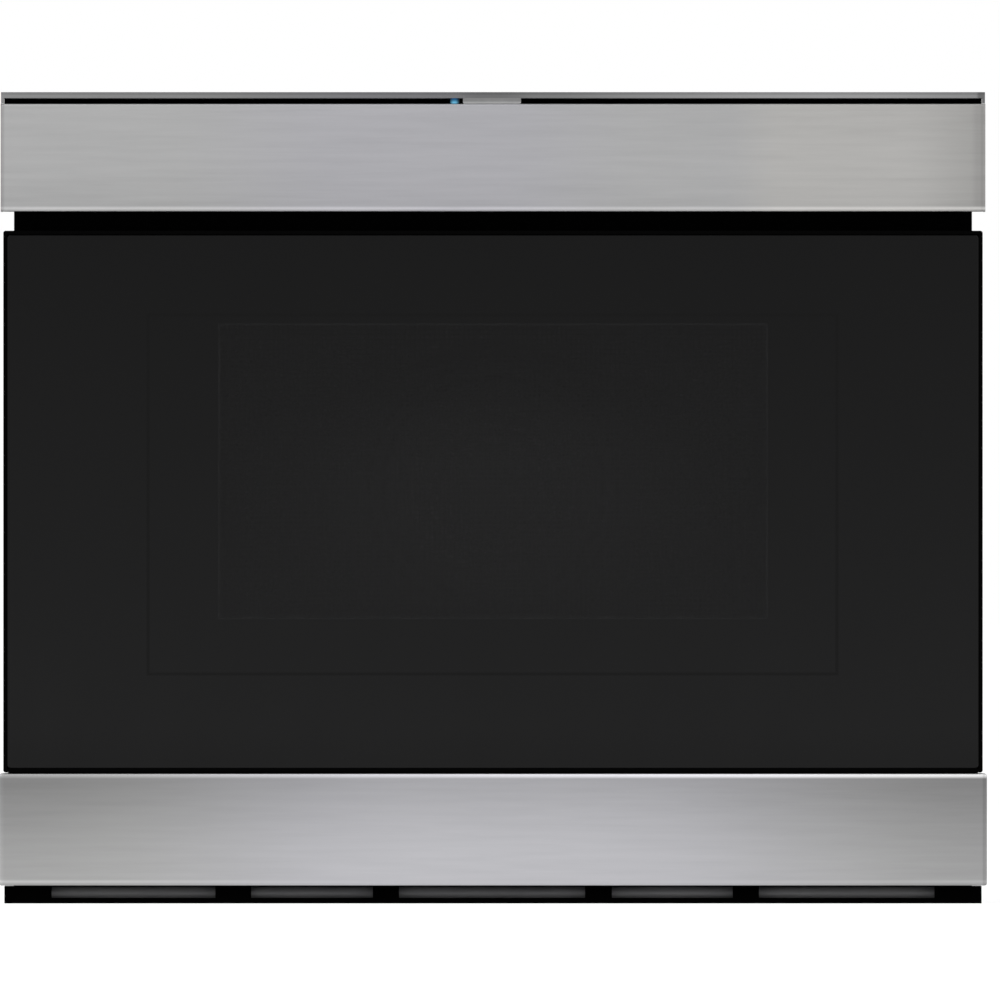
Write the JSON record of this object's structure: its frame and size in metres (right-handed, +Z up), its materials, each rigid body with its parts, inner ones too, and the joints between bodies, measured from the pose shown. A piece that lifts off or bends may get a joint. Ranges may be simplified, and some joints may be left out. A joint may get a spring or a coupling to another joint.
{
  "type": "microwave drawer",
  "caption": "Built-in microwave drawer with a black glass front between brushed steel panels, a tilting control pod, a sliding tub and its rails, drive and fans.",
  "frame": {"origin": "middle of the bounding box's bottom, on the floor of the cut-out", "axes": "+Z up, -Y out of the drawer's front, +X to the right seen from the front"},
  "size_m": [0.6064, 0.594, 0.4981],
  "materials": {
    "stainless": "horizontally brushed, clear",
    "black_glass": "polished black glass",
    "clear_glass": "clear tempered glass",
    "black_plastic": "fine moulded texture",
    "black_enamel": "satin black enamel",
    "grey_strip": "satin black",
    "galvanised": "galvanised sheet",
    "bare_steel": "plated steel",
    "cavity_enamel": "grey enamel, speckled",
    "ceramic_white": "glazed glass ceramic",
    "mica": "pressed mica",
    "heater_steel": "oxidised sheath",
    "aluminium_sheet": "rolled sheet",
    "magnet_steel": "plated steel and fins",
    "iron_core": "varnished laminations",
    "can_aluminium": "drawn can",
    "motor_grey": "plated motor case",
    "nylon_white": "natural nylon",
    "nylon_black": "moulded black nylon",
    "board_green": "lacquered circuit board",
    "choke_grey": "moulded dark grey",
    "sensor_grey": "smoked lens",
    "status_blue": "lit light pipe",
    "lamp_glass": "lamp glass in its can",
    "screw_steel": "bright zinc"
  },
  "bodies": {
    "chassis": {"front_frame": "black_enamel", "top_trim": "stainless", "motion_sensor_lens": "sensor_grey", "status_light": "status_blue", "vent_strip": "grey_strip", "vent_baffle": "galvanised", "base_pan": "galvanised", "base_skids": "galvanised", "outer_wrap": "galvanised", "back_panel": "galvanised", "cord_gland": "nylon_black", "oven_cavity": "cavity_enamel", "cavity_legs": "galvanised", "convection_cover": "cavity_enamel", "convection_housing": "galvanised", "convection_heater": "heater_steel", "convection_motor": "motor_grey", "waveguide": "aluminium_sheet", "stirrer_cover": "mica", "stirrer_motor": "motor_grey", "magnetron": "magnet_steel", "power_transformer": "iron_core", "hv_capacitor": "can_aluminium", "fan_shroud": "nylon_black", "fan_motor": "motor_grey", "cavity_lamp": "lamp_glass", "control_board": "board_green", "rail_brackets": "galvanised", "outer_rails": "bare_steel", "position_switches": "nylon_black", "drive_gearmotor": "motor_grey", "motor_stand": "galvanised", "pod_hinge_brackets": "black_enamel", "pod_latch": "nylon_black", "chassis_screws": "screw_steel"},
    "drawer": {"door_glass": "black_glass", "door_frame": "black_plastic", "lower_panel": "stainless", "drawer_skin": "black_enamel", "door_screen": "black_enamel", "inner_pane": "clear_glass", "choke_ring": "choke_grey", "drawer_tub": "cavity_enamel", "ceramic_floor": "ceramic_white", "drawer_arms": "bare_steel", "inner_rails": "bare_steel", "drive_rack": "nylon_white", "drawer_screws": "screw_steel"},
    "control_pod": {"control_fascia": "stainless", "pod_housing": "black_plastic", "touch_glass": "black_glass", "display_board": "board_green", "pod_hinge_pins": "bare_steel"},
    "middle_rails": {"middle_rails": "bare_steel"},
    "outer_cages": {"outer_ball_cages": "bare_steel"},
    "inner_cages": {"inner_ball_cages": "bare_steel"},
    "pinion": {"drive_pinion": "nylon_white"},
    "convection_wheel": {"convection_fan": "bare_steel"},
    "stirrer": {"stirrer_fan": "aluminium_sheet"},
    "cooling_rotor": {"fan_rotor": "nylon_black"}
  },
  "joints": [
    {"name": "drawer_slide", "type": "slide", "parent": "chassis", "child": "drawer", "axis": [0, -1, 0], "range_m": [0, 0.38]},
    {"name": "middle_rail_slide", "type": "slide", "parent": "chassis", "child": "middle_rails", "axis": [0, -1, 0], "range_m": [0, 0.19]},
    {"name": "outer_cage_slide", "type": "slide", "parent": "chassis", "child": "outer_cages", "axis": [0, -1, 0], "range_m": [0, 0.095]},
    {"name": "inner_cage_slide", "type": "slide", "parent": "chassis", "child": "inner_cages", "axis": [0, -1, 0], "range_m": [0, 0.285]},
    {"name": "pinion_turn", "type": "hinge", "parent": "chassis", "child": "pinion", "pos_m": [0, -0.215, 0.0775], "axis": [1, 0, 0], "range_deg": [0, 1815]},
    {"name": "pod_tilt", "type": "hinge", "parent": "chassis", "child": "control_pod", "pos_m": [0, -0.281, 0.431], "axis": [1, 0, 0], "range_deg": [0, 45]},
    {"name": "convection_spin", "type": "hinge", "parent": "chassis", "child": "convection_wheel", "pos_m": [0, 0.2, 0.255], "axis": [0, 1, 0], "continuous": true},
    {"name": "stirrer_spin", "type": "hinge", "parent": "chassis", "child": "stirrer", "pos_m": [0, -0.02, 0.38], "axis": [0, 0, 1], "continuous": true},
    {"name": "cooling_spin", "type": "hinge", "parent": "chassis", "child": "cooling_rotor", "pos_m": [0.17, 0.25, 0.418], "axis": [0, 1, 0], "continuous": true}
  ],
  "couplings": [
    {"joint": "middle_rail_slide", "follows": "drawer_slide", "ratio": 0.5},
    {"joint": "outer_cage_slide", "follows": "drawer_slide", "ratio": 0.25},
    {"joint": "inner_cage_slide", "follows": "drawer_slide", "ratio": 0.75},
    {"joint": "pinion_turn", "follows": "drawer_slide", "rad_per_m": 83.333}
  ]
}
